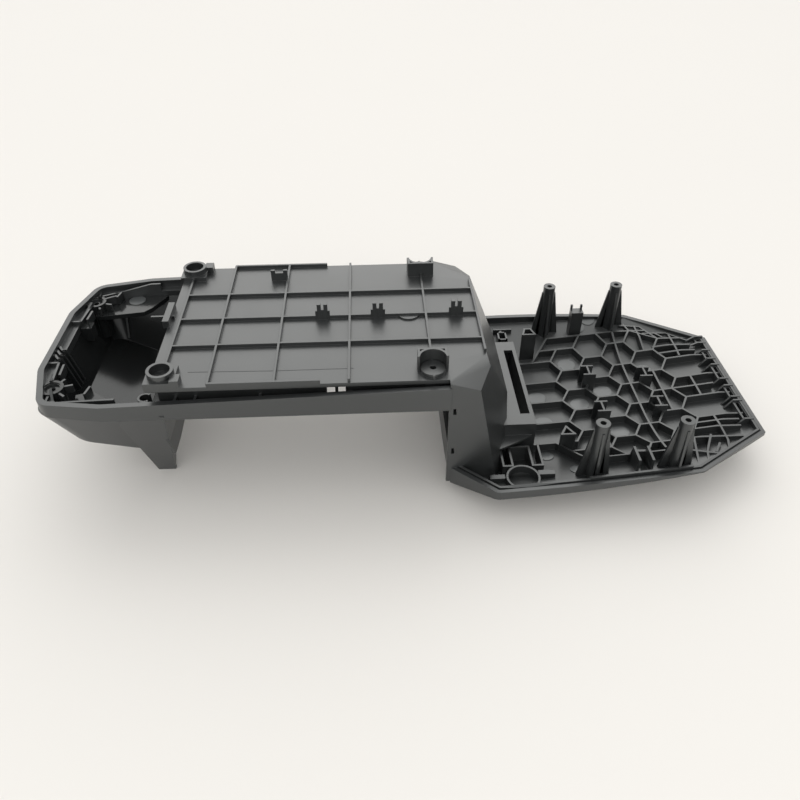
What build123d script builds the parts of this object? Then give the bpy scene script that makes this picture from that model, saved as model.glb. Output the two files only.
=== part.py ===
"""Injection moulded plastic housing, seen with its ribbed inner side up.

One moulding: a tapered tub on two legs at the left, a raised ribbed deck with a rim round
it, a hollow riser, and a wide dished panel with a honeycomb of ribs at the right.
Millimetres, +Z up, X along the length, mirror symmetry about Y = 0, floor at Z = 0.
"""

import os
from math import atan2, cos, degrees, radians, sin, sqrt

from build123d import *

# Walls and ribs
wall = 2.5
rib = 1.3
rib_root = 0.3
lip = 1.4
screw_hole = 3.4
screw_depth = 22.0
boss_recess_d = 11.0
boss_recess = 4.9

# Deck: the raised plate
deck_left = -143.7
deck_right = 40.8
deck_half = 63.5
deck_top = 83.0
deck_rib_height = 2.2
deck_wall_y = 60.0
deck_row_y = 27.2
deck_columns = (-136.9, -111.5, -76.4, -36.3, 9.3, 40.0)
deck_column_end = 38.5
channel_rib_top = 75.0
channel_ribs_x = (-130.2, -119.6, -84.8, -35.7, -7.4, 3.3)
window_places = ((-46.4, 4.5), (-40.5, 4.1))
window_low = 70.0
window_high = 78.0
edge_strip_left = -112.0
edge_strip_right = -51.7
edge_strip_top = 85.2

# Clips and stops on the deck
pin_places_x = (-52.4, -19.4, 27.5)
pin_pair = 6.2
pin_slot = 1.6
pin_deep = 2.6
pin_top = 93.2
catch_left = -87.0
catch_right = -76.5
catch_y = 45.6
catch_prong = 2.6
catch_deep = 1.6
catch_top = 90.4
catch_plate_top = 88.5
bump_x = -1.0
bump_width = 13.1
bump_deep = 4.8
bump_top = 84.0
hook_left = -146.2
hook_near = -5.5
hook_far = 15.5
hook_top = 87.5
hook_rib_top = 85.0
hook_rib_left = -155.0
hook_rib_y = 3.6

# Rim round the tub and the deck
rim_left = -214.2
rim_half = 68.0
rim_taper_x = -170.2
rim_corner = (-204.7, 62.0)
rim_end_half = 30.0
rim_right = 18.8
rim_bottom = 65.0
rim_height = 75.0
rim_height_x = -150.7
rim_slope = degrees(atan2(0.029, 1.0))
rim_band = 3.5
rim_groove = 3.2
channel_floor = 67.0
tub_lip_end = -163.2

# Tub at the left end and its two legs
tub_half = 62.8
tub_side_taper = 22.3
tub_left = -208.7
tub_left_taper = 16.5
tub_right = -136.9
tub_floor_left = 37.0
tub_floor_left_x = -194.2
tub_floor_slope = 21.0
tub_corner = 13.0
leg_taper = 23.5
leg_top_left = -162.7
leg_top_right = -136.9
leg_foot_left = -159.2
leg_foot_right = -148.7
leg_web_top_half = 32.0
leg_web_foot_half = 38.5
tub_end_lean = 33.0
tub_seam = 0.5

# Riser between the deck and the panel
riser_left = 17.8
riser_half = 67.5
riser_end = 57.3
riser_end_break = 46.0
riser_hole_x = 20.9
riser_hole_wide = 1.8
riser_hole_high = 4.2
riser_holes_z = (34.0, 63.5)
leaf_top = 22.5
leaf_thick = 1.5
slot_frame_right = 74.5
slot_frame_half = 43.2
slot_frame_top = 31.0
slot_left = 66.2
slot_half = 33.3

# Panel: outline, dished floor and rim
panel_left = 20.3
panel_right = 214.2
panel_half_left = 90.2
panel_half_right = 82.1
panel_corner_left = 44.8
panel_corner_right = 164.8
panel_end_half = 50.5
panel_side_bow = 1.6
dish_lowest_x = -24.7
dish_lowest_z = -0.66
dish_radius = 1520.0
dish_flat_half = 18.0
dish_flank_radius = 150.0
dish_flank_angle = 17.0
panel_rib_height = 5.2
panel_rim_left = 20.6
panel_rim_middle = 25.2
panel_rim_right = 25.2
panel_ledge = 2.4
panel_groove = 0.8
panel_groove_depth = 1.6
panel_ledge_drop = 0.8
panel_rail_left = 97.7
panel_rail_right = 158.9
panel_rail_rise = 1.2

# Honeycomb
cell_side = 12.0
cell_origin = 132.3

# Tall posts on the panel
post_centre_x = 126.75
post_pitch_x = 47.6
post_pitch_y = 146.2
post_top = 56.8
post_d = 8.2
post_fin = 7.6
post_fin_share = 0.72

# Bosses on the deck and in the tub
deck_boss_left_x = -136.9
deck_boss_right_x = 9.3
deck_boss_y = 55.2
deck_boss_top = 89.4
deck_boss_d = 14.5
corner_block = (-145.0, -129.0, 47.0, 63.5)
corner_block_top = 86.0
corner_tab = (-131.0, -126.0, 57.0, 63.5)
corner_tab_top = 87.5
pocket_boss_d = 13.6
pocket_boss_top = 85.3
pocket_half = 8.2
pocket_near = 46.5
pocket_far = 54.6
pocket_arch = 8.6
pocket_top = 92.4
tub_boss_x = -202.1
tub_boss_y = 44.8
tub_boss_top = 71.0
tub_boss_d = 12.6
tub_boss_deep = 24.0
tub_boss_fin = 18.0

# Small fittings on the panel floor
tower_places = ((122.6, 19.0), (160.3, 15.7))
tower_wide = 8.5
tower_long = 10.5
tower_top = 23.0
wedge_post = (87.0, 54.5)
wedge_near = 8.6
wedge_far = 4.2
wedge_long = 6.8
wedge_top = 31.5
catch_post = (124.3, 69.5)
catch_post_wide = 8.4
catch_post_long = 6.5
catch_post_top = 38.0
catch_post_ear = 3.5
tube_post = (94.8, -42.0)
tube_post_radius = 4.6
tube_post_top = 23.0
stirrup_left = 128.3
stirrup_right = 136.0
stirrup_far = -63.5
stirrup_near = -80.0
stirrup_top = 24.0
pocket_left = 206.0
pocket_rows = ((46.4, 6.4), (29.4, 10.0), (9.8, 15.6), (-11.1, 11.6), (-29.6, 18.0))
foot_rib_top = 19.0

HIGH = 120.0
WIDE = 110.0
DEEP = -40.0


Z_UP = Vector(0, 0, 1)


def at_cell(across, along):
    """A place on the panel, counted in cell sides from the middle of the honeycomb."""
    return (cell_origin + across * cell_side, along * cell_side)


def bar(start, end, width):
    """A straight rib in plan, drawn into the sketch in hand."""
    step_x = end[0] - start[0]
    step_y = end[1] - start[1]
    length = sqrt(step_x**2 + step_y**2)
    with Locations(((start[0] + end[0]) / 2, (start[1] + end[1]) / 2)):
        Rectangle(length + width, width, rotation=degrees(atan2(step_y, step_x)))


def mirrored(place):
    """The same place on the far side."""
    return (place[0], -place[1])


def outward(point, normal):
    """A cutting plane through a point, facing out of the material."""
    return Plane(origin=point, z_dir=normal)


def trimmed_block(low, high, cuts, inset=0.0):
    """A block between two corners, trimmed by planes that are all moved in by inset."""
    middle = tuple((a + b) / 2 for a, b in zip(low, high))
    with BuildPart() as block:
        with Locations(middle):
            Box(*[b - a for a, b in zip(low, high)])
        for cut in cuts:
            split(bisect_by=cut.offset(-inset), keep=Keep.BOTTOM)
    return block.part


def rim_outline(inset=0.0):
    """Plan of the rim round the tub and along both sides of the deck."""
    corners = [(rim_right, rim_half), (rim_taper_x, rim_half), rim_corner, (rim_left, rim_end_half)]
    with BuildSketch() as plan:
        with BuildLine():
            Polyline(*corners, *[mirrored(c) for c in reversed(corners)], close=True)
        make_face()
        fillet(plan.vertices().group_by(Axis.X)[1], radius=10)
        fillet(plan.vertices().group_by(Axis.X)[0], radius=16)
        if inset:
            offset(amount=-inset, kind=Kind.INTERSECTION, mode=Mode.REPLACE)
    return plan.sketch


def panel_outline(inset=0.0):
    """Plan of the panel, with gently bowed sides."""
    side_middle = (panel_corner_left + panel_corner_right) / 2
    side_bow = (panel_half_left + panel_half_right) / 2 + panel_side_bow
    near = [
        (panel_left, -riser_half),
        (panel_corner_left, -panel_half_left),
        (side_middle, -side_bow),
        (panel_corner_right, -panel_half_right),
        (panel_right, -panel_end_half),
    ]
    far = [mirrored(place) for place in near]
    with BuildSketch() as plan:
        with BuildLine():
            Line(near[0], near[1])
            ThreePointArc(near[1], near[2], near[3])
            Line(near[3], near[4])
            Line(near[4], far[4])
            Line(far[4], far[3])
            ThreePointArc(far[3], far[2], far[1])
            Line(far[1], far[0])
            Line(far[0], near[0])
        make_face()
        fillet(plan.vertices().group_by(Axis.X)[1], radius=5)
        if inset:
            offset(amount=-inset, kind=Kind.INTERSECTION, mode=Mode.REPLACE)
    return plan.sketch


def under_dish(raise_by):
    """The space under the dished floor of the panel, whose surface is moved up."""
    floor_z = dish_lowest_z + raise_by
    centre_z = dish_lowest_z + dish_flank_radius
    radius = dish_flank_radius - raise_by
    reach = WIDE - dish_flat_half
    end_y = dish_flat_half + radius * sin(radians(dish_flank_angle))
    end_z = centre_z - radius * cos(radians(dish_flank_angle))
    run = reach * sin(radians(dish_flank_angle)) / cos(radians(dish_flank_angle))
    with BuildPart() as space:
        with BuildSketch(Plane.YZ.offset(dish_lowest_x)):
            with BuildLine():
                Line((-dish_flat_half, floor_z), (dish_flat_half, floor_z))
                for side in (-1, 1):
                    CenterArc(
                        (side * dish_flat_half, centre_z), radius, 270, side * dish_flank_angle
                    )
                    Line((side * end_y, end_z), (side * (end_y + reach), end_z + run))
                    Line((side * (end_y + reach), end_z + run), (side * (end_y + reach), DEEP))
                Line((-(end_y + reach), DEEP), (end_y + reach, DEEP))
            make_face()
        revolve(
            axis=Axis((dish_lowest_x, 0, dish_lowest_z + dish_radius), (0, -1, 0)),
            revolution_arc=10,
        )
    return space.part


def under_panel_rim(drop=0.0):
    """All the space under the gently curved top of the panel's rim."""
    middle_x = (panel_left + panel_right) / 2
    with BuildPart() as space:
        with BuildSketch(Plane.XZ.offset(-WIDE)):
            with BuildLine():
                ThreePointArc(
                    (panel_left - 10, panel_rim_left - drop),
                    (middle_x, panel_rim_middle - drop),
                    (panel_right + 10, panel_rim_right - drop),
                )
                Polyline(
                    (panel_right + 10, panel_rim_right - drop),
                    (panel_right + 10, -20),
                    (panel_left - 10, -20),
                    (panel_left - 10, panel_rim_left - drop),
                )
            make_face()
        extrude(amount=2 * WIDE)
    return space.part


def rim_top(drop=0.0):
    """The sloping plane that ends the rim round the tub and the deck."""
    return Plane(
        origin=(rim_height_x, 0, rim_height - drop),
        x_dir=(cos(radians(rim_slope)), 0, sin(radians(rim_slope))),
        z_dir=(-sin(radians(rim_slope)), 0, cos(radians(rim_slope))),
    )


def rim_ring(outer, inner, bottom, drop=0.0):
    """A wall that follows the rim, from a level up to the sloping top plane."""
    with BuildPart() as ring:
        with BuildSketch(Plane.XY.offset(bottom)):
            add(rim_outline(outer))
            add(rim_outline(inner), mode=Mode.SUBTRACT)
            with Locations((rim_right, 0)):
                Rectangle(2 * inner, 2 * (rim_half - inner), mode=Mode.SUBTRACT)
        extrude(amount=HIGH - bottom)
        split(bisect_by=rim_top(drop), keep=Keep.BOTTOM)
    return ring.part


def side_plane(half, level, taper, side):
    """A side of the tub or a leg, which leans inwards towards the floor."""
    return outward((0, side * half, level), (0, side * cos(radians(taper)), -sin(radians(taper))))


# The tub, as an outer form and the same form inset by the wall
tub_cuts = [side_plane(tub_half, rim_bottom, tub_side_taper, side) for side in (-1, 1)]
tub_cuts.append(
    outward(
        (tub_left, 0, rim_bottom),
        (-cos(radians(tub_left_taper)), 0, -sin(radians(tub_left_taper))),
    )
)
tub_cuts.append(
    outward(
        (tub_floor_left_x, 0, tub_floor_left),
        (-sin(radians(tub_floor_slope)), 0, -cos(radians(tub_floor_slope))),
    )
)

tub_cuts.append(
    outward(
        (tub_right, 0, rim_bottom + tub_seam),
        (cos(radians(tub_end_lean)), 0, -sin(radians(tub_end_lean))),
    )
)


def tub_form(inset, top):
    """The tapered hull of the tub, moved in by inset and cut off level at the top."""
    block = trimmed_block((-2 * WIDE, -WIDE, DEEP), (0, WIDE, top), tub_cuts, inset)
    with BuildPart() as hull:
        add(block)
        corners = hull.edges().filter_by(
            lambda e: e.center().X < tub_floor_left_x
            and abs(e.center().Y) > tub_boss_y / 2
            and e.center().Z < top - 1
            and abs(e.tangent_at(0.5).Z) > 0.5
        )
        fillet(corners, radius=tub_corner - inset)
    return hull.part


tub_outer = tub_form(0, rim_bottom + tub_seam)
tub_inner = tub_form(wall, rim_bottom + tub_seam)

# One leg: a tapering fin in the plane of a leaning side
leg_half = rim_half - tub_seam
leg_outer_cut = side_plane(leg_half, rim_bottom, leg_taper, -1)
with BuildPart() as leg:
    with BuildSketch(Plane.XZ.offset(20)):
        with BuildLine():
            Polyline(
                (leg_top_left, rim_bottom + 1),
                (leg_foot_left, 0),
                (leg_foot_right, 0),
                (leg_top_right, rim_bottom + 1),
                close=True,
            )
        leg_side = make_face()
        fillet(leg_side.vertices().group_by(Axis.Z)[0].sort_by(Axis.X)[0], radius=7)
        fillet(leg_side.vertices().group_by(Axis.Z)[0].sort_by(Axis.X)[-1], radius=2)
    extrude(amount=60)
    split(bisect_by=leg_outer_cut, keep=Keep.BOTTOM)
    split(bisect_by=leg_outer_cut.offset(-wall), keep=Keep.TOP)

# The webs that stiffen the legs across their right edge, and the step up to the deck
leg_lean = degrees(atan2(leg_top_right - leg_foot_right, rim_bottom))
leg_end = outward((leg_top_right, 0, rim_bottom), (cos(radians(leg_lean)), 0, -sin(radians(leg_lean))))
leg_sides = [side_plane(leg_half, rim_bottom, leg_taper, side) for side in (-1, 1)]
with BuildPart() as leg_webs:
    add(trimmed_block((leg_top_left, -WIDE, 0), (0, WIDE, rim_bottom + wall), leg_sides + [leg_end]))
    split(bisect_by=leg_end.offset(-wall), keep=Keep.TOP)
    with BuildSketch(Plane.YZ.offset(leg_top_left)):
        with BuildLine():
            Polyline(
                (-leg_web_foot_half, 0),
                (-leg_web_top_half, rim_bottom),
                (leg_web_top_half, rim_bottom),
                (leg_web_foot_half, 0),
                close=True,
            )
        make_face()
    extrude(amount=WIDE, mode=Mode.SUBTRACT)
with BuildPart() as deck_step:
    with Locations((tub_right - wall / 2, 0, (rim_bottom + deck_top) / 2)):
        Box(wall, 2 * deck_wall_y, deck_top - rim_bottom - wall)

# The riser between deck and panel: near corner points, mirrored to the far side
facet_front = (23.8, -60.0, deck_top)
facet_back = (deck_right, -42.0, deck_top)
corner_low = (34.3, -riser_half, 78.0)
chamfer_top = (riser_end, -30.0, riser_end_break)
chamfer_foot = (54.4, -slot_frame_half, slot_frame_top)


def through(first, second, third, side):
    """A plane through three near-side points or their mirror images, facing out of the riser."""
    points = [Vector(p[0], -side * p[1], p[2]) for p in (first, second, third)]
    normal = (points[1] - points[0]).cross(points[2] - points[0])
    inward = Vector(riser_left, 0, riser_end_break) - points[0]
    if normal.dot(inward) > 0:
        normal = -normal
    return Plane(origin=points[0], z_dir=normal)


riser_cuts = [outward((0, side * riser_half, 0), (0, side, 0)) for side in (-1, 1)]
riser_cuts += [through(facet_front, facet_back, corner_low, side) for side in (-1, 1)]
riser_cuts += [through(corner_low, chamfer_foot, chamfer_top, side) for side in (-1, 1)]
riser_cuts.append(
    outward(
        (deck_right, 0, deck_top),
        (deck_top - riser_end_break, 0, riser_end - deck_right),
    )
)
under_panel = under_dish(0)
under_floor = under_dish(wall)

# Two leaf-shaped webs that brace the slotted frame against the riser
with BuildPart() as leaf_webs:
    for side in (-1, 1):
        with BuildSketch(Plane.XY.offset(leaf_top - leaf_thick)):
            with BuildLine():
                leaf_edge = Spline(
                    (corner_low[0], side * (riser_half - 6)),
                    (riser_end, side * (slot_frame_half + 9)),
                    (slot_frame_right, side * (slot_frame_half - wall / 2)),
                )
                Polyline(
                    leaf_edge @ 1,
                    (corner_low[0], side * (slot_frame_half - wall / 2)),
                    leaf_edge @ 0,
                )
            make_face()
        extrude(amount=leaf_thick)

# The riser and the slotted frame at its foot, as one shell that stands in the panel floor
slot_frame_middle = (riser_left + slot_frame_right) / 2
with BuildPart() as riser:
    add(trimmed_block((riser_left, -WIDE, 0), (riser_end, WIDE, deck_top), riser_cuts))
    with Locations((slot_frame_middle + wall, 0, slot_frame_top / 2)):
        Box(slot_frame_right - riser_left - 2 * wall, 2 * slot_frame_half, slot_frame_top)
    add(leaf_webs)
    add(
        trimmed_block(
            (riser_left - 1, -WIDE, -1), (riser_end - wall, WIDE, deck_top - wall), riser_cuts, wall
        ),
        mode=Mode.SUBTRACT,
    )
    with Locations((slot_frame_middle - wall, 0, slot_frame_top / 2 - wall)):
        Box(
            slot_frame_right - riser_left,
            2 * (slot_frame_half - wall),
            slot_frame_top,
            mode=Mode.SUBTRACT,
        )
    with Locations(((slot_left + slot_frame_right - wall) / 2, 0, slot_frame_top)):
        Box(slot_frame_right - wall - slot_left, 2 * slot_half, 4 * wall, mode=Mode.SUBTRACT)
    for height in riser_holes_z:
        with Locations((riser_hole_x, -riser_half, height)):
            Box(riser_hole_wide, 4 * wall, riser_hole_high, mode=Mode.SUBTRACT)
    add(under_dish(wall / 2), mode=Mode.SUBTRACT)

# The panel shell: floor, side wall and double rim
panel_rim_width = panel_ledge + panel_groove + lip
with BuildPart() as panel_hollow:
    with BuildSketch():
        add(panel_outline(panel_rim_width))
    extrude(amount=HIGH / 2)
    add(under_floor, mode=Mode.SUBTRACT)

with BuildPart() as panel_rim_cut:
    with BuildSketch():
        add(panel_outline(-1))
        add(panel_outline(panel_ledge), mode=Mode.SUBTRACT)
    extrude(amount=HIGH / 2)
    add(under_panel_rim(panel_ledge_drop), mode=Mode.SUBTRACT)
with BuildPart() as panel_groove_cut:
    with BuildSketch():
        add(panel_outline(panel_ledge))
        add(panel_outline(panel_ledge + panel_groove), mode=Mode.SUBTRACT)
    extrude(amount=HIGH / 2)
    add(under_panel_rim(panel_groove_depth), mode=Mode.SUBTRACT)

with BuildPart() as panel:
    with BuildSketch():
        add(panel_outline())
    extrude(amount=HIGH / 2)
    add(under_panel, mode=Mode.SUBTRACT)
    add(panel_hollow, mode=Mode.SUBTRACT)
    add(under_panel_rim(), mode=Mode.INTERSECT)
    add(panel_rim_cut, mode=Mode.SUBTRACT)
    add(panel_groove_cut, mode=Mode.SUBTRACT)

# The raised stretch of the rim's inner lip on the near side
with BuildPart() as panel_rail:
    with BuildSketch():
        add(panel_outline(panel_ledge + panel_groove))
        add(panel_outline(panel_rim_width), mode=Mode.SUBTRACT)
        with Locations(((panel_rail_left + panel_rail_right) / 2, -WIDE / 2)):
            Rectangle(panel_rail_right - panel_rail_left, WIDE, mode=Mode.INTERSECT)
    extrude(amount=HIGH / 2)
    add(under_panel_rim(-panel_rail_rise), mode=Mode.INTERSECT)
    add(under_panel_rim(panel_groove_depth), mode=Mode.SUBTRACT)

# Honeycomb and the straight ribs round it, as one plan
ROW = sqrt(3)
closed_cells = [(0, 2.5), (-1, 2), (0, 1.5), (1, 2), (2, 2.5), (2, 1.5), (1, 1), (2, 0.5)]
closed_cells += [(0, 0.5), (1, 0), (2, -0.5), (1, -1), (0, -0.5), (0, -1.5), (1, -2)]
closed_cells += [(2, -1.5), (0, -2.5), (-1, 1), (-1, 0), (-1, -1)]
cell_places = [at_cell(1.5 * column, ROW * row) for column, row in closed_cells]
side_bars = [
    ((1.5, 5.2), (1.5, -4.9)),
    ((3, 5.7), (3, 3.5)),
    ((3, 1.7), (3, -1.7)),
    ((4.8, 4.75), (4.8, 2.75)),
    ((4.8, 0.9), (4.8, -0.8)),
    ((4.8, -2.6), (4.75, -4.6)),
    ((4.75, -4.6), (4.5, -5.5)),
    ((-2.45, 3 * ROW), (2.6, 3 * ROW)),
    ((-2.45, -3 * ROW), (2.6, -3 * ROW)),
    ((2.6, 3 * ROW), (3.97, 4.36)),
    ((3.3, 4.88), (4.66, 4.88)),
    ((-2.5, 2 * ROW), (-2, 1.5 * ROW)),
    ((-2.5, -2 * ROW), (-2, -1.5 * ROW)),
    ((-2, -1.5 * ROW), (-2.5, -ROW)),
    ((-1, 2.5 * ROW), (-3.0, 2.5 * ROW)),
    ((-1, -2.5 * ROW), (-3.0, -2.5 * ROW)),
    ((-2.45, 3 * ROW), (-3.6, 2 * ROW)),
    ((-2.45, -3 * ROW), (-3.6, -2 * ROW)),
    ((-1, -1.5 * ROW), (-1, -2.5 * ROW)),
]
side_bars += [((-2.5, row * ROW), (-4.78, row * ROW)) for row in (-2, -1, 0, 1, 2)]
right_rows = [
    (4.33, 3.97, 5.6), (3.65, 3.57, 5.7), (3.1, 3.7, 5.8), (2.6, 4.0, 6.3), (0.87, 4.0, 6.4),
    (0.0, 3.5, 5.7), (-0.85, 4.0, 6.3), (-2.6, 4.0, 6.3), (-3.05, 3.8, 5.9),
    (-3.55, 3.45, 5.8), (-4.33, 3.1, 5.6),
]
side_bars += [((start, row), (end, row)) for row, start, end in right_rows]
truss_bars = [
    ((2.59, -5.25), (4.72, -5.74)), ((2, -6.4), (3, -6.6)), ((2.5, -5.45), (2, -7.3)),
    ((3.12, -4.23), (2.5, -7.1)), ((3.41, -5.38), (3.11, -6.5)), ((4.02, -4.21), (3.41, -5.38)),
    ((4.23, -4.85), (3.87, -5.41)), ((2.13, 5.8), (3.29, 5.62)), ((3.29, 5.62), (3.97, 4.36)),
    ((2.39, 5.9), (2.54, 5.2)), ((3.96, 4.93), (4.32, 4.49)), ((4.66, 4.88), (5.62, 4.12)),
]

with BuildPart() as rib_field:
    with BuildSketch():
        with Locations(*cell_places):
            RegularPolygon(cell_side + rib / ROW, 6)
        with Locations(*cell_places):
            RegularPolygon(cell_side - rib / ROW, 6, mode=Mode.SUBTRACT)
        for start, end in side_bars + truss_bars:
            bar(at_cell(*start), at_cell(*end), rib)
    extrude(amount=HIGH / 2)
    add(under_dish(wall + panel_rib_height), mode=Mode.INTERSECT)
    add(under_dish(wall - rib_root), mode=Mode.SUBTRACT)
    add(under_panel_rim(panel_groove_depth), mode=Mode.INTERSECT)

# Fittings that stand on the panel floor
post_places = [
    (post_centre_x + across * post_pitch_x / 2, along * post_pitch_y / 2)
    for across in (-1, 1)
    for along in (-1, 1)
]


def screw_post(place, diameter, foot_z, top_z, fin):
    """A round screw post with four fins that spread towards its foot."""
    height = top_z - foot_z
    with Locations((place[0], place[1], (foot_z + top_z) / 2)):
        Cylinder(diameter / 2, height)
    for across in ((1, 0, 0), (0, 1, 0)):
        upright = Plane((place[0], place[1], foot_z), x_dir=across, z_dir=Vector(*across).cross(Z_UP))
        with BuildSketch(upright) as fin_side:
            with BuildLine():
                Polyline(
                    (-fin, 0),
                    (fin, 0),
                    (diameter / 2, post_fin_share * height),
                    (-diameter / 2, post_fin_share * height),
                    close=True,
                )
            make_face()
        extrude(fin_side.sketch, amount=rib / 2, both=True)


def standing_walls(bars, top_z, thickness):
    """Thin walls in plan, from under the panel floor up to a level."""
    with BuildSketch() as walls:
        for start, end in bars:
            bar(start, end, thickness)
    extrude(walls.sketch, amount=top_z)


def tower_bars(place):
    """The two flanges and the web of a small tower."""
    near = place[1] - (tower_long - rib) / 2
    far = place[1] + (tower_long - rib) / 2
    reach = (tower_wide - rib) / 2
    return [
        ((place[0] - reach, near), (place[0] + reach, near)),
        ((place[0] - reach, far), (place[0] + reach, far)),
        ((place[0], near), (place[0], far)),
    ]


wedge_low = wedge_post[1] - wedge_long / 2
wedge_high = wedge_post[1] + wedge_long / 2
wedge_corners = [
    (wedge_post[0] - wedge_near / 2, wedge_low),
    (wedge_post[0] + wedge_near / 2, wedge_low),
    (wedge_post[0] + wedge_far / 2, wedge_high),
    (wedge_post[0] - wedge_far / 2, wedge_high),
]
tube_corners = [
    (
        tube_post[0] + tube_post_radius * cos(radians(turn)),
        tube_post[1] + tube_post_radius * sin(radians(turn)),
    )
    for turn in (90, 210, 330)
]
stirrup_bars = [
    ((stirrup_left, stirrup_near), (stirrup_left, stirrup_far)),
    ((stirrup_left, stirrup_far), (stirrup_right, stirrup_far)),
    ((stirrup_right, stirrup_far), (stirrup_right, stirrup_near)),
]
foot_bars = [
    (at_cell(-6.63, -6.05), at_cell(-5.87, -5.55)),
    (at_cell(-5.87, -5.55), at_cell(-5.15, -6.15)),
    (at_cell(-6.7, -4.4), at_cell(-6.7, -5.5)),
    (at_cell(-6.7, -5.5), at_cell(-6.25, -5.5)),
    (at_cell(-6.25, -5.5), at_cell(-6.25, -4.15)),
    (at_cell(-6.25, -4.15), at_cell(-5.25, -4.15)),
    (at_cell(-5.25, -4.15), at_cell(-5.25, -5.5)),
    (at_cell(-5.25, -5.5), at_cell(-4.75, -5.5)),
    (at_cell(-4.75, -5.5), at_cell(-4.75, -4.1)),
    (at_cell(-6.63, -6.05), at_cell(-6.25, -6.97)),
    (at_cell(-5.15, -6.15), at_cell(-5.86, -7.11)),
]


def closed_loop(corners):
    """The straight runs round a ring of corners."""
    return list(zip(corners, corners[1:] + corners[:1]))


with BuildPart() as fittings:
    for place in post_places:
        screw_post(place, post_d, 0, post_top, post_fin)
    for place in tower_places:
        for spot in (place, mirrored(place)):
            standing_walls(tower_bars(spot), tower_top, rib)
    standing_walls(closed_loop(wedge_corners), wedge_top, rib)
    standing_walls(closed_loop(tube_corners), tube_post_top, rib)
    standing_walls(stirrup_bars, stirrup_top, rib)
    standing_walls(foot_bars, foot_rib_top, rib)
    with Locations((catch_post[0], catch_post[1], catch_post_top / 2)):
        Box(catch_post_wide, catch_post_long, catch_post_top)
    for side in (-1, 1):
        with Locations(
            (
                catch_post[0] + side * (catch_post_wide - lip) / 2,
                catch_post[1] + (catch_post_long - lip) / 2,
                catch_post_top + catch_post_ear / 2,
            )
        ):
            Box(lip, lip, catch_post_ear)
    add(under_dish(wall - rib_root), mode=Mode.SUBTRACT)

# Snap pockets in the right end wall, as low boxes between the end rim and the ribs
with BuildPart() as end_pockets:
    for middle, length in pocket_rows:
        with BuildSketch() as pocket_walls:
            with Locations(((pocket_left + panel_right - panel_rim_width) / 2, middle)):
                Rectangle(panel_right - panel_rim_width - pocket_left + rib, length)
                Rectangle(
                    panel_right - panel_rim_width - pocket_left - rib,
                    length - 2 * rib,
                    mode=Mode.SUBTRACT,
                )
        extrude(pocket_walls.sketch, amount=HIGH / 2)
    add(under_panel_rim(panel_ledge_drop), mode=Mode.INTERSECT)
    add(under_dish(wall - rib_root), mode=Mode.SUBTRACT)

# The deck: skin, side walls, ribs and the channel beside it
deck_under = deck_top - wall
channel_wide = rim_half - rim_band - deck_wall_y + 1
channel_y = (deck_wall_y + rim_half - rim_band) / 2
with BuildPart() as deck:
    with BuildSketch(Plane.XY.offset(deck_under)):
        with Locations(((deck_left + riser_left + wall) / 2, 0)):
            Rectangle(riser_left + wall - deck_left, 2 * deck_half)
    extrude(amount=wall)
    for side in (-1, 1):
        with Locations(
            (
                (tub_right - wall + riser_left + wall) / 2,
                side * (deck_wall_y - wall / 2),
                (rim_bottom + deck_under) / 2,
            )
        ):
            Box(riser_left - tub_right + 2 * wall, wall, deck_under - rim_bottom + wall)
        with Locations(((tub_right + riser_left) / 2, side * channel_y, channel_floor - wall / 2)):
            Box(riser_left - tub_right + 2 * wall, channel_wide, wall)
        for x in channel_ribs_x:
            with Locations((x, side * channel_y, (channel_floor + channel_rib_top) / 2 - rib_root)):
                Box(rib, channel_wide, channel_rib_top - channel_floor + rib_root)
        for x, width in window_places:
            with Locations((x, side * deck_wall_y, (window_low + window_high) / 2)):
                Box(width, 4 * wall, window_high - window_low, mode=Mode.SUBTRACT)
        with Locations(
            (
                (edge_strip_left + edge_strip_right) / 2,
                side * (deck_half - lip / 2),
                (deck_under + edge_strip_top) / 2,
            )
        ):
            Box(edge_strip_right - edge_strip_left, lip, edge_strip_top - deck_under)
        for (low_x, high_x, low_y, high_y), top in (
            (corner_block, corner_block_top),
            (corner_tab, corner_tab_top),
        ):
            with Locations(
                ((low_x + high_x) / 2, side * (low_y + high_y) / 2, (deck_under + top) / 2)
            ):
                Box(high_x - low_x, high_y - low_y, top - deck_under)

with BuildPart() as deck_ribs:
    with BuildSketch(Plane.XY.offset(deck_top - rib_root)):
        for row in (-deck_row_y, 0, deck_row_y):
            bar((deck_columns[0], row), (deck_columns[-1], row), rib)
        for x in deck_columns[:-1]:
            bar((x, -deck_half + rib), (x, deck_half - rib), rib)
        bar((deck_columns[-1], -deck_column_end), (deck_columns[-1], deck_column_end), rib)
    extrude(amount=deck_rib_height + rib_root)

# Clips and stops that stand on the deck
deck_root = deck_top - rib_root


def stand(low_x, high_x, low_y, high_y, top):
    """A small upright block on the deck."""
    with Locations(((low_x + high_x) / 2, (low_y + high_y) / 2, (deck_root + top) / 2)):
        Box(high_x - low_x, high_y - low_y, top - deck_root)


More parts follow.
